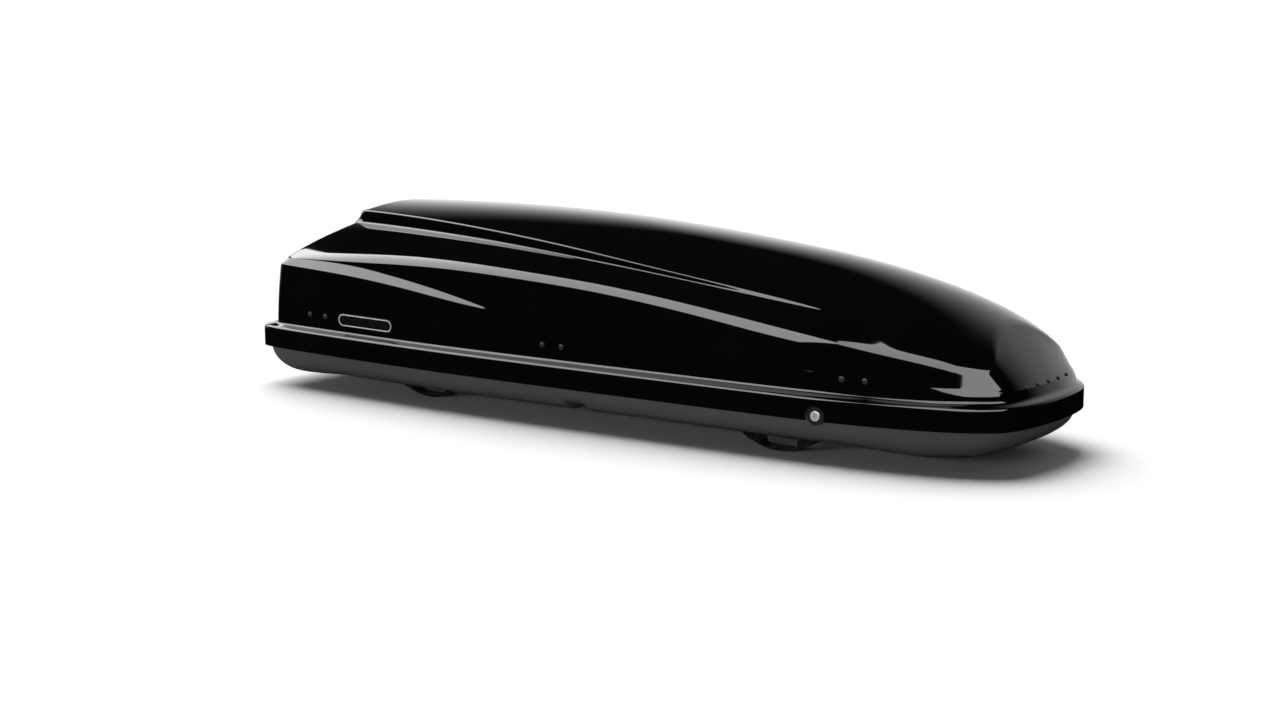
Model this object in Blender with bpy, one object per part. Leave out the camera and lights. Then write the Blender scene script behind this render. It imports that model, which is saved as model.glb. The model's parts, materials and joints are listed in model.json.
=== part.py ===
"""Roof cargo box with one side-opening lid, four bar clamps, a central lock and two lid struts.

Metres, +X to the nose, +Z up, the lock on the -Y side and the lid hinges on the +Y side.
The box stands on its closed clamp jaws at z = 0.
"""

import math

import bpy
import numpy as np
from mathutils import Matrix, Vector

for old in list(bpy.data.objects):
    bpy.data.objects.remove(old, do_unlink=True)

# ---------------------------------------------------------------- driving dimensions
LENGTH = 2.009
HALF_WIDTH = 0.3677
RIM_Z = 0.096
SKIN = 0.004
GAP = 0.0003

# ---------------------------------------------------------------- smooth curves


def spline(knots, values):
    """Natural cubic spline through the knots, held at its end values outside them."""
    x = np.array(knots, float)
    y = np.array(values, float)
    n = len(x)
    h = np.diff(x)
    a = np.zeros((n, n))
    b = np.zeros(n)
    a[0, 0] = 1
    a[-1, -1] = 1
    for i in range(1, n - 1):
        a[i, i - 1] = h[i - 1]
        a[i, i] = 2 * (h[i - 1] + h[i])
        a[i, i + 1] = h[i]
        b[i] = 6 * ((y[i + 1] - y[i]) / h[i] - (y[i] - y[i - 1]) / h[i - 1])
    m = np.linalg.solve(a, b)

    def at(q):
        q = np.clip(np.asarray(q, float), x[0], x[-1])
        i = np.clip(np.searchsorted(x, q) - 1, 0, n - 2)
        u = x[i + 1] - q
        v = q - x[i]
        return (
            (m[i] * u**3 + m[i + 1] * v**3) / (6 * h[i])
            + (y[i] / h[i] - m[i] * h[i] / 6) * u
            + (y[i + 1] / h[i] - m[i + 1] * h[i] / 6) * v
        )

    return at


def ease(t):
    t = np.clip(t, 0, 1)
    return t * t * (3 - 2 * t)


# plan of the rim: control points of half of it, from the rear middle to the nose
RIM_POLYGON = np.array(
    [
        (-1.0045, 0.0),
        (-1.0045, 0.10),
        (-1.0045, 0.19),
        (-1.0045, 0.265),
        (-1.000, 0.322),
        (-0.972, 0.352),
        (-0.91, 0.358),
        (-0.80, 0.3625),
        (-0.66, 0.3665),
        (-0.50, 0.3695),
        (-0.32, 0.366),
        (-0.12, 0.357),
        (0.08, 0.347),
        (0.27, 0.3365),
        (0.44, 0.3265),
        (0.58, 0.316),
        (0.70, 0.299),
        (0.80, 0.275),
        (0.88, 0.248),
        (0.945, 0.212),
        (0.985, 0.172),
        (1.000, 0.110),
        (1.0055, 0.05),
        (1.006, 0.0),
    ]
)


def rim_plan(t):
    """Points and outward normals of the rim's plan for t from 0 (rear middle) to 1 (nose)."""
    p = np.vstack([RIM_POLYGON[1] * (1, -1), RIM_POLYGON, RIM_POLYGON[-2] * (1, -1)])
    spans = len(RIM_POLYGON) - 1
    q = np.clip(np.asarray(t, float), 0, 1) * spans
    i = np.minimum(q.astype(int), spans - 1)
    f = (q - i)[:, None]
    a, b, c, d = p[i], p[i + 1], p[i + 2], p[i + 3]
    at = (
        a * (1 - f) ** 3
        + b * (3 * f**3 - 6 * f**2 + 4)
        + c * (-3 * f**3 + 3 * f**2 + 3 * f + 1)
        + d * f**3
    ) / 6
    along = (
        -a * (1 - f) ** 2
        + b * (3 * f**2 - 4 * f)
        + c * (-3 * f**2 + 2 * f + 1)
        + d * f**2
    ) / 2
    along /= np.linalg.norm(along, axis=1)[:, None]
    return at, np.stack([-along[:, 1], along[:, 0]], 1)


FINE_T = np.linspace(0, 1, 6001)
FINE_P, FINE_N = rim_plan(FINE_T)
PLAN_SCALE = np.array(
    [LENGTH / (FINE_P[:, 0].max() - FINE_P[:, 0].min()), HALF_WIDTH / FINE_P[:, 1].max()]
)
PLAN_MIDDLE = (FINE_P[:, 0].max() + FINE_P[:, 0].min()) / 2


def plan_at(t):
    at, normal = rim_plan(t)
    at = (at - (PLAN_MIDDLE, 0)) * PLAN_SCALE
    normal = normal / PLAN_SCALE
    normal /= np.linalg.norm(normal, axis=1)[:, None]
    return at, normal


FINE_P, FINE_N = plan_at(FINE_T)
WIDEST = int(np.argmax(FINE_P[:, 1]))


def t_at_x(x):
    """Where the long side, from the rear corner to the nose, reaches this x."""
    first = int(np.argmax(FINE_P[:, 0] > -0.99))
    return np.interp(x, FINE_P[first:, 0], FINE_T[first:])


def t_at_rear_y(y):
    last = int(np.argmax(FINE_P[:, 1] > 0.34))
    return np.interp(y, FINE_P[:last, 1], FINE_T[:last])


def half_width(x):
    return float(plan_at(np.array([t_at_x(x)]))[0][0, 1])


SIDE_SPINE = (
    (-0.95, -0.80, -0.60, -0.40, -0.20, -0.10, 0.10, 0.20, 0.35, 0.50, 0.65, 0.80, 0.90),
    (-0.50, -0.45, -0.38, -0.29, -0.17, -0.10, 0.10, 0.19, 0.31, 0.42, 0.51, 0.575, 0.605),
)


def spine_x(at):
    """X on the middle line towards which each place of the rim runs inward."""
    x = at[:, 0]
    y = np.abs(at[:, 1])
    side = np.interp(x, *SIDE_SPINE)
    tail = -0.70 + 0.20 * (y / 0.352) ** 2
    nose = 0.70 - 0.095 * (y / 0.2366) ** 1.5
    return np.where(x < -0.95, tail, np.where(x > 0.90, nose, side))


def inward(at, normal):
    """Step that goes towards the middle line and moves one metre off the rim."""
    aim = np.column_stack([spine_x(at), np.zeros(len(at))]) - at
    aim /= np.linalg.norm(aim, axis=1)[:, None]
    square = np.maximum(-(aim * normal).sum(1), 0.5)
    return aim / square[:, None]


# ---------------------------------------------------------------- hood surface, heights above RIM_Z
crown_z = spline(
    (-0.95, -0.60, -0.30, 0.0, 0.30, 0.50, 0.65, 0.78, 0.90, 1.00),
    (0.330, 0.344, 0.347, 0.338, 0.318, 0.297, 0.271, 0.238, 0.188, 0.120),
)
shoulder_z = spline(
    (-0.95, -0.70, -0.45, -0.27, 0.0, 0.25, 0.50, 0.78, 0.92, 1.00),
    (0.214, 0.232, 0.245, 0.248, 0.236, 0.210, 0.178, 0.143, 0.106, 0.060),
)
shoulder_y = spline(
    (-0.95, -0.50, 0.0, 0.30, 0.50, 0.66, 0.785, 0.90, 1.00),
    (0.314, 0.324, 0.309, 0.296, 0.283, 0.266, 0.240, 0.205, 0.165),
)
panel_y = spline(
    (-0.95, -0.83, -0.57, -0.31, -0.13, 0.06, 0.28, 0.50, 0.70),
    (0.115, 0.132, 0.175, 0.213, 0.229, 0.235, 0.231, 0.219, 0.205),
)
panel_step = spline(
    (-0.95, -0.57, -0.31, -0.13, 0.06, 0.28, 0.50, 0.62),
    (0.028, 0.026, 0.022, 0.019, 0.013, 0.008, 0.003, 0.0),
)


def panel_ramp(x):
    """Width of the slope at the edge of the raised panel."""
    return np.maximum(0.45 * panel_step(x), 0.004)


def roof_z(x, y):
    """Height of the roof, with its raised middle panel, above any point of the plan."""
    step = np.maximum(panel_step(x), 0)
    low = shoulder_z(x)
    bow = crown_z(x) - step - low
    on_panel = ease((panel_y(x) - np.abs(y)) / panel_ramp(x) + 0.5)
    return low + bow * (1 - (y / shoulder_y(x)) ** 2) + step * on_panel


belt_z = spline(
    (-0.95, -0.716, -0.52, -0.336, -0.232, 0.0, 0.30, 0.70, 0.95, 1.00),
    (0.202, 0.194, 0.180, 0.159, 0.148, 0.120, 0.105, 0.094, 0.080, 0.078),
)
belt_width = spline((-0.95, -0.70, -0.45, -0.22, 0.0), (0.016, 0.0165, 0.0115, 0.002, 0.001))
belt_height = spline((-0.95, -0.72, -0.53, -0.34, -0.20, 0.0), (0.016, 0.022, 0.0165, 0.0125, 0.005, 0.003))

LEDGE_Z = 0.0515
FOOT_Z = 0.0625


def hood_profile(at, normal, inner):
    """Insets and heights of the hood's wall for each place on the plan, up to the roof edge."""
    x = at[:, 0]
    rear = ease(np.clip(-normal[:, 0], 0, 1) ** 1.5)
    nose = np.clip(normal[:, 0], 0, 1) ** 2
    foot = 0.021 + 0.029 * rear - 0.006 * nose
    belt = belt_z(x)
    w1 = foot + 0.006 * (1 - nose) + 0.0255 * rear + 0.008 * nose
    w2 = w1 + belt_width(x) * (1 - 0.7 * rear) + 0.004 * nose
    z2 = belt + belt_height(x) * (1 - 0.5 * rear) + 0.003 * nose
    lean = 0.07 + 0.63 * rear + 0.75 * nose
    lo = w2.copy()
    hi = w2 + 0.16
    step = inward(at, normal)

    def over(d):
        p = at + step * d[:, None]
        return z2 + (d - w2) / lean - roof_z(p[:, 0], p[:, 1])

    for _ in range(40):
        mid = (lo + hi) / 2
        above = over(mid) > 0
        hi = np.where(above, mid, hi)
        lo = np.where(above, lo, mid)
    edge = (lo + hi) / 2
    p = at + step * edge[:, None]
    top = roof_z(p[:, 0], p[:, 1])
    reach = 0.012 + 0.010 * ease((0.9 - x) / 0.5) * (1 - rear)
    back = np.minimum(reach / np.sqrt(1 + lean**2), (top - z2) * 0.8)
    a = edge - back * lean
    za = top - back
    b = edge + reach
    p = at + step * b[:, None]
    zb = roof_z(p[:, 0], p[:, 1])
    mid = (a + b + 2 * edge) / 4
    zmid = (za + zb + 2 * top) / 4
    t = SKIN if inner else 0.0
    zero = np.zeros_like(x)
    rows = [
        (zero + t, zero),
        (zero + t, zero + 0.044 - 0.4 * t),
        (zero + 0.0022 + 0.8 * t, zero + 0.0492 - 0.8 * t),
        (zero + 0.008 + 0.1 * t, zero + LEDGE_Z - t),
        (foot - 0.001 + 0.2 * t, zero + 0.0565 - t),
        (foot + 0.0022 + 0.95 * t, zero + FOOT_Z - 0.3 * t),
        (foot + (w1 - foot) * 0.42 + t, FOOT_Z + (belt - FOOT_Z) * 0.5),
        (w1 + t, belt - 0.4 * t),
        (w2 + t, z2 - 0.4 * t),
        (a + t, za - 0.2 * t),
        (mid + 0.7 * t, zmid - 0.7 * t),
        (b, zb - t),
    ]
    return rows


# ---------------------------------------------------------------- making objects
MATERIALS = {}
LOOKS = {
    "gloss_black": ((0.006, 0.006, 0.007), 0.0, 0.06),
    "base_grey": ((0.06, 0.063, 0.062), 0.0, 0.38),
    "black_plastic": ((0.014, 0.014, 0.015), 0.0, 0.45),
    "rubber": ((0.012, 0.012, 0.012), 0.0, 0.8),
    "steel": ((0.55, 0.56, 0.57), 1.0, 0.32),
    "black_steel": ((0.02, 0.02, 0.022), 0.4, 0.35),
    "chrome": ((0.8, 0.8, 0.8), 1.0, 0.12),
    "badge_silver": ((0.5, 0.5, 0.5), 0.6, 0.3),
}


def material(slot):
    if slot not in MATERIALS:
        colour, metal, rough = LOOKS[slot]
        made = bpy.data.materials.new(slot)
        made.use_nodes = True
        shader = made.node_tree.nodes["Principled BSDF"]
        shader.inputs["Base Color"].default_value = (*colour, 1)
        shader.inputs["Metallic"].default_value = metal
        shader.inputs["Roughness"].default_value = rough
        made.diffuse_color = (*colour, 1)
        MATERIALS[slot] = made
    return MATERIALS[slot]


def raw(points, faces, name="helper"):
    mesh = bpy.data.meshes.new(name)
    mesh.from_pydata([tuple(map(float, p)) for p in points], [], faces)
    mesh.validate()
    made = bpy.data.objects.new(name, mesh)
    bpy.context.scene.collection.objects.link(made)
    return made


def outward(points, faces):
    """The faces, all turned round if they enclose a negative volume."""
    points = np.asarray(points, float)
    volume = 0.0
    for face in faces:
        for i in range(1, len(face) - 1):
            volume += np.linalg.det(points[[face[0], face[i], face[i + 1]]])
    return [tuple(reversed(face)) for face in faces] if volume < 0 else list(faces)


def solid(name, slot, adds, cuts=(), pivot=None):
    """One closed body from overlapping helpers joined together, less the cutting helpers."""
    first = adds[0]
    for other, operation in [(o, "UNION") for o in adds[1:]] + [(o, "DIFFERENCE") for o in cuts]:
        step = first.modifiers.new(operation, "BOOLEAN")
        step.object = other
        step.operation = operation
        step.solver = "EXACT"
    bpy.context.view_layer.update()
    graph = bpy.context.evaluated_depsgraph_get()
    mesh = bpy.data.meshes.new_from_object(first.evaluated_get(graph))
    mesh.transform(first.matrix_world)
    mesh.name = name
    made = bpy.data.objects.new(name, mesh)
    bpy.context.scene.collection.objects.link(made)
    for helper in list(adds) + list(cuts):
        bpy.data.objects.remove(helper, do_unlink=True)
    mesh.materials.clear()
    mesh.materials.append(material(slot))
    if pivot is not None:
        mesh.transform(Matrix.Translation(-Vector(pivot)))
        made.location = pivot
    return made


def box(x0, x1, y0, y1, z0, z1):
    points = [(x, y, z) for x in (x0, x1) for y in (y0, y1) for z in (z0, z1)]
    faces = [(0, 1, 3, 2), (4, 6, 7, 5), (0, 4, 5, 1), (2, 3, 7, 6), (0, 2, 6, 4), (1, 5, 7, 3)]
    return raw(points, outward(points, faces))


def frame_of(direction, hint=(0, 0, 1)):
    w = Vector(direction).normalized()
    u = Vector(hint).cross(w)
    if u.length < 1e-6:
        u = Vector((1, 0, 0)).cross(w)
    u.normalize()
    return u, w.cross(u), w


def turned(stations, sides=16, start=0.0):
    """Round body along straight stations (point, radius): a cylinder, cone or stepped shaft."""
    first = Vector(stations[0][0])
    u, v, w = frame_of(Vector(stations[-1][0]) - first)
    points = []
    for centre, radius in stations:
        for k in range(sides):
            angle = start + 2 * math.pi * k / sides
            points.append(Vector(centre) + radius * (u * math.cos(angle) + v * math.sin(angle)))
    faces = [tuple(range(sides)), tuple(reversed(range((len(stations) - 1) * sides, len(stations) * sides)))]
    for i in range(len(stations) - 1):
        for k in range(sides):
            a = i * sides + k
            b = i * sides + (k + 1) % sides
            faces.append((a, a + sides, b + sides, b))
    return raw(points, outward(points, faces))


def rod(p0, p1, radius, sides=16):
    return turned([(p0, radius), (p1, radius)], sides)


def prism(outline, place, low, high):
    """Outline of (u, v) pulled from low to high; place turns (u, v, w) into a point."""
    n = len(outline)
    points = [place(u, v, low) for u, v in outline] + [place(u, v, high) for u, v in outline]
    faces = [tuple(range(n)), tuple(reversed(range(n, 2 * n)))]
    for k in range(n):
        faces.append((k, k + n, (k + 1) % n + n, (k + 1) % n))
    return raw(points, outward(points, faces))


def xz(u, v, w):
    return (u, w, v)


def yz(u, v, w):
    return (w, u, v)


def xy(u, v, w):
    return (u, v, w)


# ---------------------------------------------------------------- lid shell
SIDE_X = (-0.92, -0.84, -0.76, -0.66, -0.55, -0.44, -0.33, -0.22, -0.11, 0.0, 0.11, 0.22, 0.33, 0.44, 0.55)
SIDE_X += (0.64, 0.72, 0.79, 0.85, 0.90)
T_LIST = [0.0]
T_LIST += [float(t_at_rear_y(y)) for y in (0.06, 0.105, 0.125, 0.19, 0.26)]
T_LIST += list(np.linspace(t_at_rear_y(0.305), t_at_x(-0.955), 4))
T_LIST += [float(t_at_x(x)) for x in SIDE_X]
T_LIST += list(np.linspace(t_at_x(0.935), 1.0, 8))
T_LIST = np.array(T_LIST)


def rows_to_points(at, normal, rows, lift):
    made = []
    step = inward(at, normal)
    for inset, height in rows:
        p = at + step * inset[:, None]
        p[0, 1] = 0
        p[-1, 1] = 0
        made.append(np.column_stack([p, height + lift]))
    return made


def inward_rows(at, edge, height_at, fractions, lift):
    """Rows from the roof edge row to the spine, at the given parts of the way."""
    end_x = spine_x(at)
    made = []
    for part in fractions:
        x = edge[:, 0] + (end_x - edge[:, 0]) * part
        y = edge[:, 1] * (1 - part)
        made.append(np.column_stack([x, y, height_at(x, y) + lift]))
    return made


def panel_fractions(at, edge):
    """Parts of the way inward that follow the foot and the top of the raised panel's edge."""
    end_x = spine_x(at)
    y = np.maximum(edge[:, 1], 1e-6)
    foot = np.full(len(y), 0.3)
    top = np.full(len(y), 0.34)
    for _ in range(6):
        x = edge[:, 0] + (end_x - edge[:, 0]) * foot
        foot = np.clip(1 - (panel_y(x) + panel_ramp(x) / 2) / y, 0.06, 0.9)
        x = edge[:, 0] + (end_x - edge[:, 0]) * top
        top = np.maximum(1 - (panel_y(x) - panel_ramp(x) / 2) / y, foot + 0.03)
    rest = 1 - top
    parts = [foot * 0.5, foot, top]
    return parts + [top + rest * share for share in (0.12, 0.35, 0.66, 1.0)]


def shell_object(name, slot, outer_rows, inner_rows):
    """A thick shell from half rows of its two skins, joined along their first rows."""
    half = len(outer_rows[0])
    ring = 2 * half - 2
    points = []
    faces = []
    for rows, turn in ((outer_rows, False), (inner_rows, True)):
        offset = len(points)
        for row in rows[:-1]:
            points += list(row * (1, -1, 1)) + list(row[-2:0:-1])
        spine_offset = len(points)
        points += list(rows[-1] * (1, 0, 1))
        count = len(rows) - 1

        def index(r, k):
            k %= ring
            if r < count:
                return offset + r * ring + k
            return spine_offset + (k if k < half else ring - k)

        for r in range(count):
            for k in range(ring):
                quad = [index(r, k), index(r, k + 1), index(r + 1, k + 1), index(r + 1, k)]
                quad = list(dict.fromkeys(quad))
                if len(quad) > 2:
                    faces.append(tuple(reversed(quad)) if turn else tuple(quad))
    second = len(outer_rows[:-1]) * ring + half
    for k in range(ring):
        a = k
        b = (k + 1) % ring
        faces.append((a, second + a, second + b, b))
    return raw(points, outward(points, faces), name)


def hood_rows(t_values, inner):
    at, normal = plan_at(t_values)
    rows = rows_to_points(at, normal, hood_profile(at, normal, inner), RIM_Z)
    drop = SKIN if inner else 0.0
    fractions = panel_fractions(at, rows[-1])
    rows += inward_rows(at, rows[-1], lambda x, y: roof_z(x, y) - drop, fractions, RIM_Z)
    return rows


lid = shell_object("lid", "gloss_black", hood_rows(T_LIST, False), hood_rows(T_LIST, True))

# ---------------------------------------------------------------- base shell


def floor_z(x):
    """Underside of the floor: flat between the clamps, deeper at the tail and under the nose."""
    return -(0.060 + 0.006 * ease((-0.74 - x) / 0.12) + 0.013 * ease((x - 0.61) / 0.20))


BASE_INSET = 0.018
EDGE_Z = 0.034
GROOVE_X = -0.032
GROOVE_HALF = 0.027
GROOVE_DEEP = 0.014


def tail_dip(x):
    """How much lower the tub's edge and the seal run round the tail, for the lid to swing clear."""
    return 0.012 * ease((-0.86 - x) / 0.06)


def groove(x):
    return GROOVE_DEEP * ease((GROOVE_HALF + 0.004 - np.abs(x - GROOVE_X)) / 0.008)


def base_rows(t_values, inner):
    at, normal = plan_at(t_values)
    x = at[:, 0]
    zero = np.zeros_like(x)
    rear = np.clip(-normal[:, 0], 0, 1) ** 2
    nose = np.clip(normal[:, 0], 0, 1) ** 2
    reach = 0.070 + 0.045 * rear + 0.075 * nose
    t = SKIN if inner else 0.0
    rows = [(BASE_INSET + zero + t, EDGE_Z - tail_dip(x)), (BASE_INSET + zero + t, zero)]
    for angle in (18, 36, 54, 72, 90):
        turn = math.radians(angle)
        inset = BASE_INSET + t + (reach - 0.5 * t) * (1 - math.cos(turn))
        p = at + inward(at, normal) * inset[:, None]
        depth = floor_z(p[:, 0]) * math.sin(turn)
        rise = groove(p[:, 0]) * ease((angle - 18) / 54)
        rows.append((inset, depth + rise + t * math.sin(turn)))
    made = rows_to_points(at, normal, rows, RIM_Z)
    made += inward_rows(at, made[-1], lambda u, v: floor_z(u) + groove(u) + t, (0.3, 0.65, 1.0), RIM_Z)
    return made


BASE_SIDE_X = [x for x in SIDE_X if abs(x - GROOVE_X) > 0.05]
BASE_SIDE_X += [GROOVE_X + side * (GROOVE_HALF + d) for side in (-1, 1) for d in (-0.005, 0.005)]
BASE_T = [0.0] + [float(t_at_rear_y(y)) for y in (0.07, 0.14, 0.21, 0.27)]
BASE_T += list(np.linspace(t_at_rear_y(0.310), t_at_x(-0.955), 4))
BASE_T += [float(t_at_x(x)) for x in sorted(BASE_SIDE_X)]
BASE_T += list(np.linspace(t_at_x(0.935), 1.0, 7))
BASE_T = np.array(BASE_T)
base = shell_object("base", "base_grey", base_rows(BASE_T, False), base_rows(BASE_T, True))


# ---------------------------------------------------------------- places on the walls
def wall_frame(x, inset, side):
    """Point on the long wall at x and its outward normal; side is -1 for near, +1 for far."""
    at, normal = plan_at(np.array([t_at_x(x)]))
    p = at[0] - normal[0] * inset
    return Vector((p[0], side * p[1], 0)), Vector((normal[0, 0], side * normal[0, 1], 0))


def placed(helper, origin, out):
    """Move a helper drawn with x along the wall, y outward and z up to a place on a wall."""
    out = out.normalized()
    along = out.cross(Vector((0, 0, 1)))
    turn = Matrix((along, out, Vector((0, 0, 1)))).transposed().to_4x4()
    helper.data.transform(Matrix.Translation(origin) @ turn)
    return helper


def nose_wall(t_values, height, inner):
    """Insets of the hood wall at one height above the rim."""
    at, normal = plan_at(t_values)
    rows = hood_profile(at, normal, inner)
    insets = []
    for k in range(len(at)):
        heights = [float(row[1][k]) for row in rows]
        ins = [float(row[0][k]) for row in rows]
        insets.append(np.interp(height, heights[3:], ins[3:]))
    return at, normal, np.array(insets)


def wall_depths(x):
    """Insets of the outer wall at the rivets and of the inner wall behind a fixing plate."""
    t = np.array([t_at_x(x - 0.038), t_at_x(x), t_at_x(x + 0.038)])
    outer = nose_wall(t, 0.090, False)[2]
    inner = [nose_wall(t, height, True)[2].max() for height in (0.072, 0.090, 0.112)]
    return float(outer[1]), float(max(inner)) + 0.0020


RIVET_Z = RIM_Z + 0.090
RIVET_PITCH = 0.052
RIVET_INSET = 0.0225
HEAD_R = 0.0068
SHANK_R = 0.0028
lid_holes = []


def rivet_pair(x, side, outer, inner):
    """Two rivets through the lid wall, with the holes they need."""
    origin, out = wall_frame(x, outer, side)
    parts = []
    for shift in (-RIVET_PITCH / 2, RIVET_PITCH / 2):
        steps = [((shift, outer - inner - 0.0016, RIVET_Z), SHANK_R), ((shift, 0.0015, RIVET_Z), SHANK_R)]
        steps += [((shift, 0.0015, RIVET_Z), HEAD_R), ((shift, 0.0028, RIVET_Z), HEAD_R * 0.9)]
        steps += [((shift, 0.0040, RIVET_Z), HEAD_R * 0.5)]
        parts.append(placed(turned(steps, 12), origin, out))
        hole = rod((shift, -0.02, RIVET_Z), (shift, 0.02, RIVET_Z), SHANK_R + GAP, 12)
        lid_holes.append(placed(hole, origin, out))
    return parts


def wall_box(x, side, inset, u0, u1, v0, v1, z0, z1):
    origin, out = wall_frame(x, inset, side)
    return placed(box(u0, u1, v0, v1, z0, z1), origin, out)


# ---------------------------------------------------------------- latch side
STRIKER_X = {"rear": -0.800, "middle": -0.083, "front": 0.675}
BAR_Z = RIM_Z + 0.010
BAR_INSET = 0.046
TONGUE = 0.0030
for place, x in STRIKER_X.items():
    inset = 0.0225
    outer, inner = wall_depths(x)
    plate = wall_box(x, -1, inner, -0.038, 0.038, -0.0022, 0.0, RIM_Z + 0.072, RIM_Z + 0.112)
    depth = inset - inner - 0.0006
    arm = wall_box(x, -1, inset, -TONGUE / 2, TONGUE / 2, -0.0350, depth, RIM_Z - 0.002, RIM_Z + 0.100)
    origin, out = wall_frame(x, inset, -1)
    eye = placed(rod((-0.02, -0.0240, BAR_Z), (0.02, -0.0240, BAR_Z), 0.0043, 12), origin, out)
    solid("striker_" + place, "black_steel", [plate, arm] + rivet_pair(x, -1, outer, inner), [eye])

PIN_TRAVEL = 0.018
bar_parts = []
path = []
for x in (-0.845, -0.60, -0.35, -0.083, 0.16, 0.42, 0.645):
    origin, out = wall_frame(x, 0.0605, -1)
    path.append(origin)
outline = [(p.x, p.y) for p in path] + [(p.x + 0.0002, p.y + 0.003) for p in reversed(path)]
bar_parts.append(prism(outline, xy, BAR_Z - 0.006, BAR_Z + 0.006))
for place, x in STRIKER_X.items():
    origin, out = wall_frame(x, 0.0465, -1)
    y = origin.y
    tip = origin.x - 0.0050
    bar_y = float(np.interp(tip - 0.029, [p.x for p in path], [p.y for p in path]))
    bar_parts.append(rod((tip - 0.034, y, BAR_Z), (tip, y, BAR_Z), 0.0030, 12))
    bar_parts.append(box(tip - 0.034, tip - 0.024, y - 0.004, bar_y + 0.0015, BAR_Z - 0.005, BAR_Z + 0.005))

# ---------------------------------------------------------------- lock
LOCK_X = 0.599
LOCK_Z = RIM_Z + 0.0105
lock_origin, lock_out = wall_frame(LOCK_X, BASE_INSET, -1)


def at_lock(helper):
    return placed(helper, lock_origin, lock_out)


hole_base = at_lock(rod((0, -0.02, LOCK_Z), (0, 0.02, LOCK_Z), 0.0143, 20))
steps = [((0, -0.012, LOCK_Z), 0.0140), ((0, 0.0006, LOCK_Z), 0.0140), ((0, 0.0006, LOCK_Z), 0.0205)]
steps += [((0, 0.0120, LOCK_Z), 0.0205), ((0, 0.0150, LOCK_Z), 0.0185)]
housing = at_lock(turned(steps, 24))
bore = at_lock(rod((0, -0.03, LOCK_Z), (0, 0.03, LOCK_Z), 0.0113, 24))
solid("lock_housing", "black_plastic", [housing], [bore])
steps = [((0, -0.016, LOCK_Z), 0.0110), ((0, 0.0152, LOCK_Z), 0.0110), ((0, 0.0162, LOCK_Z), 0.0100)]
barrel = at_lock(turned(steps, 20))
slot = at_lock(box(-0.0011, 0.0011, 0.0110, 0.03, LOCK_Z - 0.0046, LOCK_Z + 0.0046))
pivot_at = lock_origin + Vector((0, 0, LOCK_Z))
solid("lock_barrel", "chrome", [barrel], [slot], pivot=tuple(pivot_at))
CAM_R = 0.0150
START = math.radians(45)
cam_plate = at_lock(box(-0.006, 0.006, -0.0190, -0.0163, LOCK_Z - 0.006, LOCK_Z + CAM_R + 0.004))
cam_pin = at_lock(rod((0, -0.0262, LOCK_Z + CAM_R), (0, -0.018, LOCK_Z + CAM_R), 0.0025, 10))
cam_hub = at_lock(rod((0, -0.0190, LOCK_Z), (0, -0.0163, LOCK_Z), 0.0085, 16))
turn_back = Matrix.Translation(pivot_at) @ Matrix.Rotation(START, 4, lock_out) @ Matrix.Translation(-pivot_at)
for helper in (cam_plate, cam_pin, cam_hub):
    helper.data.transform(turn_back)
solid("lock_cam", "steel", [cam_hub, cam_plate, cam_pin], pivot=tuple(pivot_at))
pin_point = turn_back @ (lock_origin + lock_out * -0.0235 + Vector((0, 0, LOCK_Z + CAM_R)))
px = pin_point.x
py = pin_point.y
fork = box(px - 0.0085, px + 0.0085, py + 0.0005, py + 0.0225, BAR_Z - 0.005, LOCK_Z + CAM_R + 0.006)
fork_hole = box(px - 0.0045, px + 0.0045, py - 0.02, py + 0.0080, BAR_Z + 0.0065, LOCK_Z + CAM_R + 0.02)
solid("lock_bar", "steel", bar_parts + [fork], [fork_hole])
for x, place in ((-0.47, "rear"), (0.29, "front")):
    origin, out = wall_frame(x, 0.0, -1)
    plate = placed(box(-0.018, 0.018, -0.0262, -0.0235, BAR_Z - 0.012, BAR_Z + 0.012), origin, out)
    web = placed(box(-0.010, 0.010, -0.0700, -0.0240, BAR_Z - 0.0095, BAR_Z - 0.0066), origin, out)
    lip = placed(box(-0.010, 0.010, -0.0700, -0.0672, BAR_Z - 0.0095, BAR_Z + 0.006), origin, out)
    solid("bar_guide_" + place, "black_plastic", [plate, web, lip])

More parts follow.
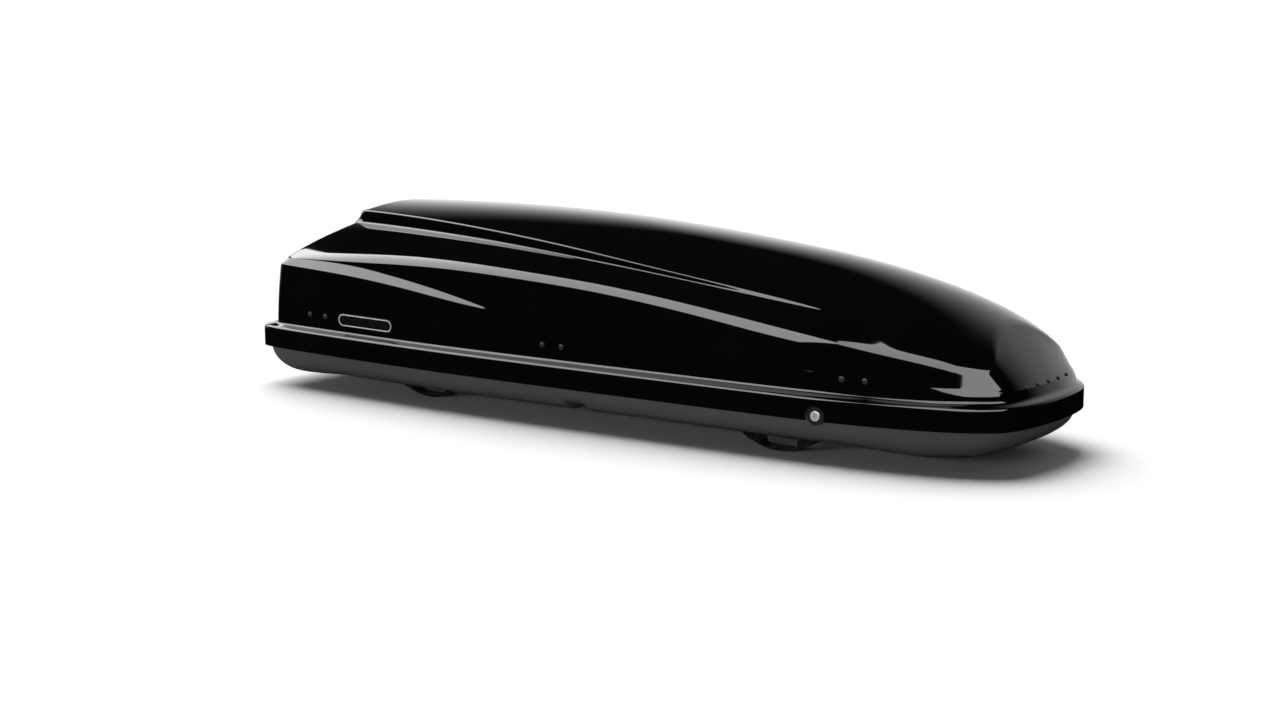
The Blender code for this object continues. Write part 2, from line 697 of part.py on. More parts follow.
# ---------------------------------------------------------------- hinges on the far side
HINGE_Y = 0.310
HINGE_X = {"rear": -0.72, "middle": -0.28, "front": 0.16}
for place, x in HINGE_X.items():
    outer, inner = wall_depths(x)
    wall = wall_frame(x, inner, 1)[0].y
    plate = wall_box(x, 1, inner, -0.038, 0.038, -0.0022, 0.0, RIM_Z + 0.072, RIM_Z + 0.112)
    neck = box(x - 0.012, x + 0.012, HINGE_Y - 0.0520, wall - 0.0010, RIM_Z + 0.0925, RIM_Z + 0.0965)
    arm = box(x - 0.012, x + 0.012, HINGE_Y - 0.0520, HINGE_Y - 0.0480, RIM_Z - 0.0020, RIM_Z + 0.0965)
    link = box(x - 0.012, x + 0.012, HINGE_Y - 0.0520, HINGE_Y - 0.0010, RIM_Z - 0.0020, RIM_Z + 0.0020)
    knuckle = rod((x - 0.012, HINGE_Y, RIM_Z), (x + 0.012, HINGE_Y, RIM_Z), 0.0062, 16)
    bore = rod((x - 0.1, HINGE_Y, RIM_Z), (x + 0.1, HINGE_Y, RIM_Z), 0.0033, 12)
    adds = [plate, neck, arm, link, knuckle] + rivet_pair(x, 1, outer, inner)
    solid("hinge_arm_" + place, "black_steel", adds, [bore])
    foot = box(x - 0.030, x + 0.030, HINGE_Y - 0.118, HINGE_Y - 0.078, RIM_Z - 0.0557, RIM_Z - 0.0530)
    web = box(x - 0.030, x + 0.030, HINGE_Y - 0.0800, HINGE_Y - 0.0775, RIM_Z - 0.0557, RIM_Z - 0.012)
    shelf = box(x - 0.030, x + 0.030, HINGE_Y - 0.0800, HINGE_Y + 0.002, RIM_Z - 0.0140, RIM_Z - 0.0115)
    ears = []
    for side in (-1, 1):
        near = x + side * 0.0125
        far = x + side * 0.030
        ends = sorted((near, far))
        ears.append(box(ends[0], ends[1], HINGE_Y - 0.004, HINGE_Y + 0.002, RIM_Z - 0.0130, RIM_Z))
        ears.append(rod((near, HINGE_Y, RIM_Z), (far, HINGE_Y, RIM_Z), 0.0062, 16))
    bore = rod((x - 0.1, HINGE_Y, RIM_Z), (x + 0.1, HINGE_Y, RIM_Z), 0.0033, 12)
    solid("hinge_bracket_" + place, "black_steel", [foot, web, shelf] + ears, [bore])
    steps = [((x - 0.0320, HINGE_Y, RIM_Z), 0.0045), ((x - 0.0304, HINGE_Y, RIM_Z), 0.0045)]
    steps += [((x - 0.0304, HINGE_Y, RIM_Z), 0.0029), ((x + 0.0310, HINGE_Y, RIM_Z), 0.0029)]
    solid("hinge_pin_" + place, "steel", [turned(steps, 12)])

# ---------------------------------------------------------------- nose bracket with its five rivets
NOSE_Z = RIM_Z + 0.081
NOSE_Y = (-0.094, -0.047, 0.0, 0.047, 0.094)
nose_t = np.linspace(np.interp(-0.115, -FINE_P[WIDEST:, 1], FINE_T[WIDEST:]), 1.0, 7)


def nose_line(height, extra):
    at, normal, inset = nose_wall(nose_t, height, True)
    p = at - normal * (inset + extra)[:, None]
    p[-1, 1] = 0
    near = [(x, -y) for x, y in p]
    return near + [(x, y) for x, y in p[-2::-1]]


low_z, high_z = 0.0700, 0.0920
strip_points = []
for height, extra in ((low_z, 0.0010), (high_z, 0.0010), (high_z, 0.0035), (low_z, 0.0035)):
    strip_points.append([(x, y, RIM_Z + height) for x, y in nose_line(height, extra)])
count = len(strip_points[0])
points = [p for line in strip_points for p in line]
faces = [(0, count, 2 * count, 3 * count), (count - 1, 4 * count - 1, 3 * count - 1, 2 * count - 1)]
for side in range(4):
    for k in range(count - 1):
        a = side * count + k
        b = ((side + 1) % 4) * count + k
        faces.append((a, a + 1, b + 1, b))
nose_parts = [raw(points, outward(points, faces))]
for y in NOSE_Y:
    t = np.array([1.0 if y == 0 else np.interp(-abs(y), -FINE_P[WIDEST:, 1], FINE_T[WIDEST:])])
    at, normal, inset = nose_wall(t, 0.081, False)
    p = at[0] - normal[0] * inset[0]
    side = -1 if y < 0 else 1
    origin = Vector((p[0], side * p[1] if y else 0, 0))
    out = Vector((normal[0, 0], side * normal[0, 1] if y else 0, 0)).normalized()
    out = (out + Vector((0, 0, 0.55))).normalized()
    centre = origin + Vector((0, 0, NOSE_Z))
    steps = [(centre - out * 0.0075, 0.0022), (centre + out * 0.0014, 0.0022), (centre + out * 0.0014, 0.0048)]
    steps += [(centre + out * 0.0025, 0.0044), (centre + out * 0.0033, 0.0022)]
    nose_parts.append(turned(steps, 10))
    lid_holes.append(rod(centre - out * 0.02, centre + out * 0.02, 0.0022 + GAP, 10))
solid("nose_bracket", "black_steel", nose_parts)

# ---------------------------------------------------------------- struts
STRUT = {"rear": (-0.80, -0.006, 0.1335), "front": (0.56, -0.064, 0.1200)}
LID_ANGLE = 50.0
for place, (x, qy, qz) in STRUT.items():
    radius = math.hypot(qy, qz)
    drop = 0.030
    p = Vector((x, HINGE_Y - math.sqrt(radius**2 - drop**2), RIM_Z - drop))
    q = Vector((x, HINGE_Y + qy, RIM_Z + qz))
    way = (q - p).normalized()
    length = (q - p).length
    side = Vector((1, 0, 0))
    foot = box(x + 0.006, x + 0.040, p.y - 0.014, p.y + 0.014, RIM_Z - 0.0557, RIM_Z - 0.0532)
    post = box(x + 0.010, x + 0.0135, p.y - 0.010, p.y + 0.010, RIM_Z - 0.0557, p.z + 0.008)
    stud = rod((x - 0.006, p.y, p.z), (x + 0.011, p.y, p.z), 0.0035, 12)
    solid("strut_base_bracket_" + place, "black_steel", [foot, post, stud])
    ends = np.array([t_at_x(x - 0.020), t_at_x(x + 0.020)])
    inner_y = 1.0
    for height in (qz - 0.018, qz, qz + 0.018):
        at, normal, inset = nose_wall(ends, height, True)
        inner_y = min(inner_y, float((at - normal * inset[:, None])[:, 1].min()))
    inner_y += 0.0012
    plate = box(x - 0.020, x + 0.020, inner_y - 0.0055, inner_y - 0.0030, q.z - 0.018, q.z + 0.018)
    lug = box(x + 0.010, x + 0.0135, q.y - 0.008, inner_y - 0.0040, q.z - 0.010, q.z + 0.010)
    stud = rod((x - 0.006, q.y, q.z), (x + 0.011, q.y, q.z), 0.0035, 12)
    solid("strut_lid_bracket_" + place, "black_steel", [plate, lug, stud])
    tube_end = length * 0.80
    eye = rod(p - side * 0.005, p + side * 0.005, 0.0085, 16)
    neck = rod(p + way * 0.004, p + way * 0.022, 0.0045, 12)
    tube = rod(p + way * 0.020, p + way * tube_end, 0.0090, 16)
    hole = rod(p - side * 0.02, p + side * 0.02, 0.0038, 12)
    cavity = rod(p + way * 0.030, p + way * (tube_end + 0.01), 0.0046, 12)
    solid("strut_tube_" + place, "black_steel", [eye, neck, tube], [hole, cavity], pivot=tuple(p))
    u = way
    v = side.cross(way)

    def strut_place(a, b, w):
        return tuple(q + u * a + v * b + side * w)

    slot_end = 0.0085
    eye_outline = [(-0.008 * math.sin(k), 0.008 * math.cos(k)) for k in np.linspace(0, math.pi, 9)]
    eye_outline += [(slot_end + 0.008 * math.sin(k), -0.008 * math.cos(k)) for k in np.linspace(0, math.pi, 9)]
    half_turn = np.linspace(0, math.pi, 7)
    slot_outline = [(-0.0038 * math.sin(k), 0.0038 * math.cos(k)) for k in half_turn]
    slot_outline += [(slot_end + 0.0038 * math.sin(k), -0.0038 * math.cos(k)) for k in half_turn]
    eye = prism(eye_outline, strut_place, -0.005, 0.005)
    slot = prism(slot_outline, strut_place, -0.02, 0.02)
    shaft = rod(p + way * 0.034, q - way * 0.0065, 0.0040, 12)
    solid("strut_rod_" + place, "steel", [eye, shaft], [slot], pivot=tuple(q))

# ---------------------------------------------------------------- bar clamps
CLAMP = {"rear": -0.539, "front": 0.458}
CLAMP_Y = 0.216
FLOOR = RIM_Z - 0.060
ARC_H = FLOOR
CHORD = 0.098
ARC_R = (CHORD**2 + ARC_H**2) / (2 * ARC_H)
PIVOT_X = 0.074
PIVOT_Z = FLOOR - 0.0100
base_holes = [hole_base]


def arc_z(u):
    return FLOOR - (math.sqrt(ARC_R**2 - u * u) - (ARC_R - ARC_H))


for end, x in CLAMP.items():
    for side, y in (("near", -CLAMP_Y), ("far", CLAMP_Y)):
        tag = end + "_" + side
        plate = box(x - 0.104, x + 0.104, y - 0.020, y + 0.020, FLOOR - 0.0035, FLOOR - GAP)
        adds = [plate]
        for way in (-1, 1):
            ends = [(x + way * 0.0835, FLOOR - 0.002), (x + way * 0.0975, FLOOR - 0.002)]
            ends += [(x + way * 0.0970, FLOOR - 0.0042)]
            ends += [(x + way * u, arc_z(u)) for u in (0.092, 0.0875, 0.0835)]
            adds.append(prism(ends, xz, y - 0.020, y + 0.020))
            for cheek in (-1, 1):
                outline = [(x + way * 0.066, FLOOR - 0.002), (x + way * 0.084, FLOOR - 0.002)]
                outline += [(x + way * u, arc_z(u)) for u in (0.084, 0.080, 0.074, 0.068)]
                outline += [(x + way * 0.066, FLOOR - 0.014)]
                lo = y + min(cheek * 0.0163, cheek * 0.020)
                hi = y + max(cheek * 0.0163, cheek * 0.020)
                adds.append(prism(outline, xz, lo, hi))
            pivot_x = x + way * PIVOT_X
            adds.append(rod((pivot_x, y - 0.018, PIVOT_Z), (pivot_x, y + 0.018, PIVOT_Z), 0.0028, 12))
        steps = [((x, y, FLOOR - 0.002), 0.0048), ((x, y, FLOOR + 0.0305), 0.0048)]
        steps += [((x, y, FLOOR + 0.0305), 0.0085), ((x, y, FLOOR + 0.0335), 0.0075)]
        adds.append(turned(steps, 16))
        base_holes.append(rod((x, y, FLOOR - 0.02), (x, y, FLOOR + 0.02), 0.0056, 16))
        solid("clamp_body_" + tag, "black_plastic", adds)
        for word, way in (("rear", -1), ("front", 1)):
            outline = [(0.0010, arc_z(0.0))]
            outline += [(u, arc_z(u)) for u in (0.012, 0.024, 0.036, 0.048, 0.058, 0.066, 0.072)]
            for k in np.radians((-60, -20, 20, 60, 95, 130)):
                outline.append((PIVOT_X + 0.0058 * math.cos(k), PIVOT_Z + 0.0058 * math.sin(k)))
            outline += [(0.066, FLOOR - 0.0045), (0.053, FLOOR - 0.0045), (0.049, FLOOR - 0.008)]
            outline += [(0.0485, FLOOR - 0.019), (0.044, FLOOR - 0.0265)]
            outline += [(0.036, FLOOR - 0.0285), (0.0010, FLOOR - 0.0285)]
            outline = [(x + way * u, v) for u, v in outline]
            jaw = prism(outline, xz, y - 0.0158, y + 0.0158)
            pivot_x = x + way * PIVOT_X
            hole = rod((pivot_x, y - 0.03, PIVOT_Z), (pivot_x, y + 0.03, PIVOT_Z), 0.0032, 12)
            name = "clamp_jaw_" + word + "_" + tag
            solid(name, "black_plastic", [jaw], [hole], pivot=(pivot_x, y, PIVOT_Z))
        lobes = []
        for k in range(60):
            angle = 2 * math.pi * k / 60
            radius = 0.0285 + 0.0035 * math.cos(5 * angle)
            lobes.append((x + radius * math.cos(angle), y + radius * math.sin(angle)))
        grip = prism(lobes, xy, FLOOR + 0.0105, FLOOR + 0.0285)
        hub = rod((x, y, FLOOR + 0.0080), (x, y, FLOOR + 0.0300), 0.0150, 20)
        hole = rod((x, y, FLOOR), (x, y, FLOOR + 0.05), 0.0052, 16)
        solid("clamp_knob_" + tag, "black_plastic", [grip, hub], [hole], pivot=(x, y, FLOOR + 0.018))
        plate = box(x - 0.060, x + 0.060, y - 0.018, y + 0.018, FLOOR + SKIN + 0.0012, FLOOR + SKIN + 0.0036)
        hole = rod((x, y, FLOOR), (x, y, FLOOR + 0.05), 0.0056, 16)
        solid("inner_plate_" + tag, "steel", [plate], [hole])
        inboard = 0.140 if y > 0 else -0.140
        pad = box(x - 0.045, x + 0.045, inboard - 0.035, inboard + 0.035, FLOOR - 0.0035, FLOOR - GAP)
        solid("bar_pad_" + tag, "rubber", [pad])

# ---------------------------------------------------------------- seal, badge, then the holes in the shells
at, normal = plan_at(BASE_T)
seal_rows = []
for inset, height in ((0.0150, 0.0344), (0.0150, 0.0400), (0.0195, 0.0425), (0.0245, 0.0400), (0.0245, 0.0344)):
    p = at - normal * inset
    p[0, 1] = 0
    p[-1, 1] = 0
    row = np.column_stack([p, RIM_Z + height - tail_dip(at[:, 0])])
    seal_rows.append(np.vstack([row * (1, -1, 1), row[-2:0:-1]]))
count = len(seal_rows[0])
points = [tuple(p) for row in seal_rows for p in row]
faces = []
for r in range(5):
    for k in range(count):
        a = r * count
        b = ((r + 1) % 5) * count
        faces.append((a + k, a + (k + 1) % count, b + (k + 1) % count, b + k))
solid("rim_seal", "rubber", [raw(points, outward(points, faces))])

BADGE_X = -0.640
BADGE_Z = RIM_Z + 0.088
BADGE_HALF = 0.072
BADGE_R = 0.0165
at, normal, inset = nose_wall(np.array([t_at_x(BADGE_X)]), BADGE_Z - RIM_Z, False)
origin, out = wall_frame(BADGE_X, float(inset[0]), -1)
turns = np.linspace(0, math.pi, 13)
badge_outline = [(BADGE_HALF + BADGE_R * math.sin(k), -BADGE_R * math.cos(k)) for k in turns]
badge_outline += [(-BADGE_HALF - BADGE_R * math.sin(k), BADGE_R * math.cos(k)) for k in turns]
badge = prism(badge_outline, lambda u, v, w: (u, w, BADGE_Z + v), 0.0014, 0.0030)
solid("badge", "badge_silver", [placed(badge, origin, out)])

arch = wall_box(LOCK_X, -1, 0.0, -0.0235, 0.0235, -0.012, 0.012, RIM_Z - 0.01, RIM_Z + 0.0105)
arch_top = placed(rod((0, -0.012, LOCK_Z), (0, 0.012, LOCK_Z), 0.0235, 24), *wall_frame(LOCK_X, 0.0, -1))
solid("base_shell", "base_grey", [base], base_holes)
solid("lid_shell", "gloss_black", [lid], lid_holes + [arch, arch_top])
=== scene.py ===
import json
import math

import bpy
import numpy as np
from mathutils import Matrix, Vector


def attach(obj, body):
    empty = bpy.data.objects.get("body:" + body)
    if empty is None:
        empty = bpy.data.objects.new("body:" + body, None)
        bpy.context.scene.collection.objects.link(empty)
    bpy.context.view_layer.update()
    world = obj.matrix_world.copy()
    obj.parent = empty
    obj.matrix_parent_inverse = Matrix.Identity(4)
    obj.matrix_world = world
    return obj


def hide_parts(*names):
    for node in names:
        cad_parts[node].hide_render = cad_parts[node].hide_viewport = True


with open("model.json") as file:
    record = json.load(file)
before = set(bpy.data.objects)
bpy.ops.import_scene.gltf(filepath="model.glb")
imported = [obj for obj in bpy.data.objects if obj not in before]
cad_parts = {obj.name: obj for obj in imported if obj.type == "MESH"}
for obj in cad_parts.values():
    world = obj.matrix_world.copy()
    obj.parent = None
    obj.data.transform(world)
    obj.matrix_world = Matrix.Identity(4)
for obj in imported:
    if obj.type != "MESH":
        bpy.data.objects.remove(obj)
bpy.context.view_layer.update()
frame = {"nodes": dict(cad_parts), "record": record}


# ---------------------------------------------------------------- driving dimensions
LENGTH = 2.009
HALF_WIDTH = 0.3677
RIM_Z = 0.096
SKIN = 0.004
SHOULDER_SOFT = 0.010

# ---------------------------------------------------------------- smooth curves


def spline(knots, values):
    """Natural cubic spline through the knots, held at its end values outside them."""
    x = np.array(knots, float)
    y = np.array(values, float)
    n = len(x)
    h = np.diff(x)
    a = np.zeros((n, n))
    b = np.zeros(n)
    a[0, 0] = 1
    a[-1, -1] = 1
    for i in range(1, n - 1):
        a[i, i - 1] = h[i - 1]
        a[i, i] = 2 * (h[i - 1] + h[i])
        a[i, i + 1] = h[i]
        b[i] = 6 * ((y[i + 1] - y[i]) / h[i] - (y[i] - y[i - 1]) / h[i - 1])
    m = np.linalg.solve(a, b)

    def at(q):
        q = np.clip(np.asarray(q, float), x[0], x[-1])
        i = np.clip(np.searchsorted(x, q) - 1, 0, n - 2)
        u = x[i + 1] - q
        v = q - x[i]
        return (
            (m[i] * u**3 + m[i + 1] * v**3) / (6 * h[i])
            + (y[i] / h[i] - m[i] * h[i] / 6) * u
            + (y[i + 1] / h[i] - m[i + 1] * h[i] / 6) * v
        )

    return at


def ease(t):
    t = np.clip(t, 0, 1)
    return t * t * (3 - 2 * t)


# plan of the rim: control points of half of it, from the rear middle to the nose
RIM_POLYGON = np.array(
    [
        (-1.0045, 0.0),
        (-1.0045, 0.10),
        (-1.0045, 0.19),
        (-1.0045, 0.265),
        (-1.000, 0.322),
        (-0.972, 0.352),
        (-0.91, 0.358),
        (-0.80, 0.3625),
        (-0.66, 0.3665),
        (-0.50, 0.3695),
        (-0.32, 0.366),
        (-0.12, 0.357),
        (0.08, 0.347),
        (0.27, 0.3365),
        (0.44, 0.3265),
        (0.58, 0.316),
        (0.70, 0.299),
        (0.80, 0.275),
        (0.88, 0.248),
        (0.945, 0.212),
        (0.985, 0.172),
        (1.000, 0.110),
        (1.0055, 0.05),
        (1.006, 0.0),
    ]
)


def rim_plan(t):
    """Points and outward normals of the rim's plan for t from 0 (rear middle) to 1 (nose)."""
    p = np.vstack([RIM_POLYGON[1] * (1, -1), RIM_POLYGON, RIM_POLYGON[-2] * (1, -1)])
    spans = len(RIM_POLYGON) - 1
    q = np.clip(np.asarray(t, float), 0, 1) * spans
    i = np.minimum(q.astype(int), spans - 1)
    f = (q - i)[:, None]
    a, b, c, d = p[i], p[i + 1], p[i + 2], p[i + 3]
    at = (
        a * (1 - f) ** 3
        + b * (3 * f**3 - 6 * f**2 + 4)
        + c * (-3 * f**3 + 3 * f**2 + 3 * f + 1)
        + d * f**3
    ) / 6
    along = (
        -a * (1 - f) ** 2
        + b * (3 * f**2 - 4 * f)
        + c * (-3 * f**2 + 2 * f + 1)
        + d * f**2
    ) / 2
    along /= np.linalg.norm(along, axis=1)[:, None]
    return at, np.stack([-along[:, 1], along[:, 0]], 1)


FINE_T = np.linspace(0, 1, 6001)
FINE_P = rim_plan(FINE_T)[0]
PLAN_SCALE = np.array(
    [LENGTH / (FINE_P[:, 0].max() - FINE_P[:, 0].min()), HALF_WIDTH / FINE_P[:, 1].max()]
)
PLAN_MIDDLE = (FINE_P[:, 0].max() + FINE_P[:, 0].min()) / 2


def plan_at(t):
    at, normal = rim_plan(t)
    at = (at - (PLAN_MIDDLE, 0)) * PLAN_SCALE
    normal = normal / PLAN_SCALE
    normal /= np.linalg.norm(normal, axis=1)[:, None]
    return at, normal


FINE_P = plan_at(FINE_T)[0]


def t_at_x(x):
    """Where the long side, from the rear corner to the nose, reaches this x."""
    first = int(np.argmax(FINE_P[:, 0] > -0.99))
    return np.interp(x, FINE_P[first:, 0], FINE_T[first:])


def t_at_rear_y(y):
    last = int(np.argmax(FINE_P[:, 1] > 0.34))
    return np.interp(y, FINE_P[:last, 1], FINE_T[:last])


SIDE_SPINE = (
    (-0.95, -0.80, -0.60, -0.40, -0.20, -0.10, 0.10, 0.20, 0.35, 0.50, 0.65, 0.80, 0.90),
    (-0.50, -0.45, -0.38, -0.29, -0.17, -0.10, 0.10, 0.19, 0.31, 0.42, 0.51, 0.575, 0.605),
)


def spine_x(at):
    """X on the middle line towards which each place of the rim runs inward."""
    x = at[:, 0]
    y = np.abs(at[:, 1])
    side = np.interp(x, *SIDE_SPINE)
    tail = -0.70 + 0.20 * (y / 0.352) ** 2
    nose = 0.70 - 0.095 * (y / 0.2366) ** 1.5
    return np.where(x < -0.95, tail, np.where(x > 0.90, nose, side))


def inward(at, normal):
    """Step that goes towards the middle line and moves one metre off the rim."""
    aim = np.column_stack([spine_x(at), np.zeros(len(at))]) - at
    aim /= np.linalg.norm(aim, axis=1)[:, None]
    square = np.maximum(-(aim * normal).sum(1), 0.5)
    return aim / square[:, None]


# ---------------------------------------------------------------- hood surface, heights above RIM_Z
crown_z = spline(
    (-0.95, -0.60, -0.30, 0.0, 0.30, 0.50, 0.65, 0.78, 0.90, 1.00),
    (0.330, 0.344, 0.347, 0.338, 0.318, 0.297, 0.271, 0.238, 0.188, 0.120),
)
shoulder_z = spline(
    (-0.95, -0.70, -0.45, -0.27, 0.0, 0.25, 0.50, 0.78, 0.92, 1.00),
    (0.214, 0.232, 0.245, 0.248, 0.236, 0.210, 0.178, 0.143, 0.106, 0.060),
)
shoulder_y = spline(
    (-0.95, -0.50, 0.0, 0.30, 0.50, 0.66, 0.785, 0.90, 1.00),
    (0.314, 0.324, 0.309, 0.296, 0.283, 0.266, 0.240, 0.205, 0.165),
)
panel_y = spline(
    (-0.95, -0.83, -0.57, -0.31, -0.13, 0.06, 0.28, 0.50, 0.70),
    (0.115, 0.132, 0.175, 0.213, 0.229, 0.235, 0.231, 0.219, 0.205),
)
panel_step = spline(
    (-0.95, -0.57, -0.31, -0.13, 0.06, 0.28, 0.50, 0.62),
    (0.028, 0.026, 0.022, 0.019, 0.013, 0.008, 0.003, 0.0),
)


def panel_ramp(x):
    """Width of the slope at the edge of the raised panel."""
    return np.maximum(0.45 * panel_step(x), 0.004)


def roof_z(x, y):
    """Height of the roof, with its raised middle panel, above any point of the plan."""
    step = np.maximum(panel_step(x), 0)
    low = shoulder_z(x)
    bow = crown_z(x) - step - low
    on_panel = ease((panel_y(x) - np.abs(y)) / panel_ramp(x) + 0.5)
    return low + bow * (1 - (y / shoulder_y(x)) ** 2) + step * on_panel


belt_z = spline(
    (-0.95, -0.716, -0.52, -0.336, -0.232, 0.0, 0.30, 0.70, 0.95, 1.00),
    (0.202, 0.194, 0.180, 0.159, 0.148, 0.120, 0.105, 0.094, 0.080, 0.078),
)
belt_width = spline((-0.95, -0.70, -0.45, -0.22, 0.0), (0.016, 0.0165, 0.0115, 0.002, 0.001))
belt_height = spline(
    (-0.95, -0.72, -0.53, -0.34, -0.20, 0.0),
    (0.016, 0.022, 0.0165, 0.0125, 0.005, 0.003),
)

LEDGE_Z = 0.0515
FOOT_Z = 0.0625


def hood_profile(at, normal, inner):
    """Insets and heights of the hood's wall for each place on the plan, up to the roof edge."""
    x = at[:, 0]
    rear = ease(np.clip(-normal[:, 0], 0, 1) ** 1.5)
    nose = np.clip(normal[:, 0], 0, 1) ** 2
    foot = 0.021 + 0.029 * rear - 0.006 * nose
    belt = belt_z(x)
    w1 = foot + 0.006 * (1 - nose) + 0.0255 * rear + 0.008 * nose
    w2 = w1 + belt_width(x) * (1 - 0.7 * rear) + 0.004 * nose
    z2 = belt + belt_height(x) * (1 - 0.5 * rear) + 0.003 * nose
    lean = 0.07 + 0.63 * rear + 0.75 * nose
    lo = w2.copy()
    hi = w2 + 0.16
    step = inward(at, normal)

    def over(d):
        p = at + step * d[:, None]
        return z2 + (d - w2) / lean - roof_z(p[:, 0], p[:, 1])

    for _ in range(40):
        mid = (lo + hi) / 2
        above = over(mid) > 0
        hi = np.where(above, mid, hi)
        lo = np.where(above, lo, mid)
    edge = (lo + hi) / 2
    p = at + step * edge[:, None]
    top = roof_z(p[:, 0], p[:, 1])
    reach = 0.012 + 0.010 * ease((0.9 - x) / 0.5) * (1 - rear)
    back = np.minimum(reach / np.sqrt(1 + lean**2), (top - z2) * 0.8)
    a = edge - back * lean
    za = top - back
    b = edge + reach
    p = at + step * b[:, None]
    zb = roof_z(p[:, 0], p[:, 1])
    mid = (a + b + 2 * edge) / 4
    zmid = (za + zb + 2 * top) / 4
    t = SKIN if inner else 0.0
    zero = np.zeros_like(x)
    rows = [
        (zero + t, zero),
        (zero + t, zero + 0.044 - 0.4 * t),
        (zero + 0.0022 + 0.8 * t, zero + 0.0492 - 0.8 * t),
        (zero + 0.008 + 0.1 * t, zero + LEDGE_Z - t),
        (foot - 0.001 + 0.2 * t, zero + 0.0565 - t),
        (foot + 0.0022 + 0.95 * t, zero + FOOT_Z - 0.3 * t),
        (foot + (w1 - foot) * 0.42 + t, FOOT_Z + (belt - FOOT_Z) * 0.5),
        (w1 + t, belt - 0.4 * t),
        (w2 + t, z2 - 0.4 * t),
        (a + t, za - 0.2 * t),
        (mid + 0.7 * t, zmid - 0.7 * t),
        (b, zb - t),
    ]
    return rows


def floor_z(x):
    """Underside of the floor: flat between the clamps, deeper at the tail and under the nose."""
    return -(0.060 + 0.006 * ease((-0.74 - x) / 0.12) + 0.013 * ease((x - 0.61) / 0.20))


BASE_INSET = 0.018
EDGE_Z = 0.034
GROOVE_X = -0.032
GROOVE_HALF = 0.027
GROOVE_DEEP = 0.014


def tail_dip(x):
    """How much lower the tub's edge and the seal run round the tail, for the lid to swing clear."""
    return 0.012 * ease((-0.86 - x) / 0.06)


def groove(x):
    return GROOVE_DEEP * ease((GROOVE_HALF + 0.004 - np.abs(x - GROOVE_X)) / 0.008)




# ---------------------------------------------------------------- fine lid and base
FULLNESS = 0.62


def corner(before, at, after, radius, count):
    """Rows that round a corner between two straight stretches, each row a pair of arrays."""
    rows = []
    first = [at[i] + (before[i] - at[i]) * radius for i in (0, 1)]
    last = [at[i] + (after[i] - at[i]) * radius for i in (0, 1)]
    for t in np.linspace(0, 1, count):
        a = (1 - t) ** 3
        b = 3 * t * (1 - t) ** 2
        c = 3 * t * t * (1 - t)
        d = t**3
        rows.append(
            tuple(
                a * first[i]
                + b * (first[i] + (at[i] - first[i]) * FULLNESS)
                + c * (last[i] + (at[i] - last[i]) * FULLNESS)
                + d * last[i]
                for i in (0, 1)
            )
        )
    return rows


def fillet(before, at, after, radius, count):
    """Rounds a corner with the same tangent length on both sides."""
    full_a = np.hypot(before[0] - at[0], before[1] - at[1])
    full_b = np.hypot(after[0] - at[0], after[1] - at[1])
    reach = np.minimum(np.minimum(0.46 * full_a, 0.46 * full_b), radius)
    ahead = (at[0] + (before[0] - at[0]) * reach / full_a, at[1] + (before[1] - at[1]) * reach / full_a)
    behind = (at[0] + (after[0] - at[0]) * reach / full_b, at[1] + (after[1] - at[1]) * reach / full_b)
    return corner(ahead, at, behind, 1.0, count)


def between(start, end, count):
    """Rows strictly between two rows."""
    return [
        (start[0] + (end[0] - start[0]) * t, start[1] + (end[1] - start[1]) * t)
        for t in np.linspace(0, 1, count + 2)[1:-1]
    ]


